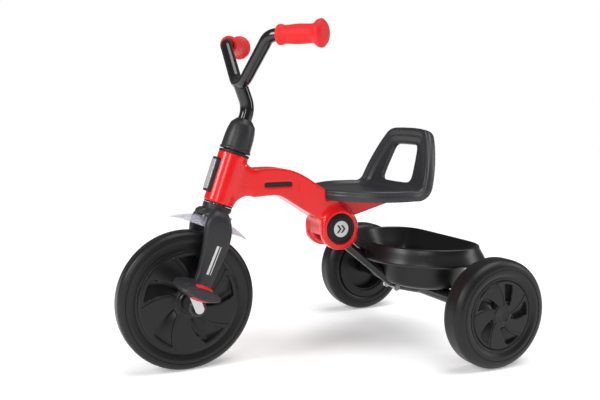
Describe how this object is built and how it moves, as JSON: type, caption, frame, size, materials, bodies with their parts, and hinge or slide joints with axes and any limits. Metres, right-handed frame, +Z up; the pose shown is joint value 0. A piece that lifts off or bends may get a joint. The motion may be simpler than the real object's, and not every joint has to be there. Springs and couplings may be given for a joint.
{
  "type": "children's tricycle",
  "caption": "Children's folding tricycle: pedal-driven front wheel, swept handlebar, moulded beam frame, shell seat with hand loop, rear tub basket.",
  "frame": {"origin": "middle of the footprint, on the ground", "axes": "+Z up, the tricycle faces -Y, +X is its left side"},
  "size_m": [0.51, 0.728, 0.6068],
  "materials": {
    "frame_red": "high gloss moulded",
    "inlay_black": "fine matte",
    "bush_black": "matte",
    "satin_black": "fine satin",
    "reflector_silver": "prismatic, bright",
    "zinc_steel": "zinc plated",
    "button_black": "satin",
    "seat_grey": "satin",
    "clear_plastic": "clear, thin",
    "tube_black": "gloss powder coat",
    "grip_red": "soft matte",
    "tyre_foam": "soft sheen foam skin",
    "wheel_black": "soft gloss",
    "inlay_red": "matte",
    "basket_black": "soft gloss"
  },
  "bodies": {
    "frame": {"main_frame": "frame_red", "frame_inlay_left": "inlay_black", "frame_inlay_right": "inlay_black", "head_bush_lower": "bush_black", "head_bush_upper": "bush_black", "reflector_housing": "satin_black", "reflector_lens": "reflector_silver", "pivot_pin": "zinc_steel", "button_spring_left": "zinc_steel", "button_spring_right": "zinc_steel", "seat_shell": "seat_grey", "seat_bolts": "zinc_steel"},
    "fold_button_left": {"fold_button_left": "button_black"},
    "fold_button_right": {"fold_button_right": "button_black"},
    "steering": {"fork_crown": "satin_black", "fork_leg_left": "satin_black", "fork_leg_right": "satin_black", "fork_screws": "zinc_steel", "fork_bush_left": "bush_black", "fork_bush_right": "bush_black", "mudguard": "clear_plastic", "mudguard_screw": "zinc_steel", "steerer_tube": "zinc_steel", "handlebar_stem": "tube_black", "handlebar": "tube_black", "stem_bolt": "zinc_steel", "stem_cap": "satin_black", "grip_left": "grip_red", "grip_right": "grip_red"},
    "front_wheel": {"front_tyre": "tyre_foam", "front_disc_left": "wheel_black", "front_disc_right": "wheel_black", "axle_shaft": "zinc_steel", "crank_left": "zinc_steel", "crank_right": "zinc_steel"},
    "pedal_left": {"pedal_left": "satin_black", "pedal_inlays_left": "inlay_red"},
    "pedal_right": {"pedal_right": "satin_black", "pedal_inlays_right": "inlay_red"},
    "rear_frame": {"rear_leg": "tube_black", "axle_tube": "tube_black", "rear_axle": "zinc_steel", "axle_nuts": "zinc_steel", "wheel_washers": "zinc_steel", "leg_bolt": "zinc_steel", "basket": "basket_black"},
    "rear_wheel_left": {"rear_tyre_left": "tyre_foam", "rear_core_left": "wheel_black", "rear_cover_left": "wheel_black"},
    "rear_wheel_right": {"rear_tyre_right": "tyre_foam", "rear_core_right": "wheel_black", "rear_cover_right": "wheel_black"}
  },
  "joints": [
    {"name": "steering", "type": "hinge", "parent": "frame", "child": "steering", "pos_m": [0, -0.235, 0.125], "axis": [0, 0.3256, 0.9455], "range_deg": [-40, 40]},
    {"name": "front_wheel_spin", "type": "hinge", "parent": "steering", "child": "front_wheel", "pos_m": [0, -0.239, 0.125], "axis": [1, 0, 0], "continuous": true},
    {"name": "pedal_left_spin", "type": "hinge", "parent": "front_wheel", "child": "pedal_left", "pos_m": [0.11, -0.25513, 0.16701], "axis": [1, 0, 0], "continuous": true},
    {"name": "pedal_right_spin", "type": "hinge", "parent": "front_wheel", "child": "pedal_right", "pos_m": [-0.11, -0.22287, 0.08299], "axis": [1, 0, 0], "continuous": true},
    {"name": "rear_fold", "type": "hinge", "parent": "frame", "child": "rear_frame", "pos_m": [0, 0.0542, 0.2381], "axis": [-1, 0, 0], "range_deg": [0, 80]},
    {"name": "rear_wheel_left_spin", "type": "hinge", "parent": "rear_frame", "child": "rear_wheel_left", "pos_m": [0.2305, 0.264, 0.1], "axis": [1, 0, 0], "continuous": true},
    {"name": "rear_wheel_right_spin", "type": "hinge", "parent": "rear_frame", "child": "rear_wheel_right", "pos_m": [-0.2305, 0.264, 0.1], "axis": [1, 0, 0], "continuous": true},
    {"name": "fold_button_left_press", "type": "slide", "parent": "frame", "child": "fold_button_left", "axis": [-1, 0, 0], "range_m": [0, 0.0035], "stiffness_N_per_m": 600, "springref_m": -0.001},
    {"name": "fold_button_right_press", "type": "slide", "parent": "frame", "child": "fold_button_right", "axis": [1, 0, 0], "range_m": [0, 0.0035], "stiffness_N_per_m": 600, "springref_m": -0.001}
  ]
}
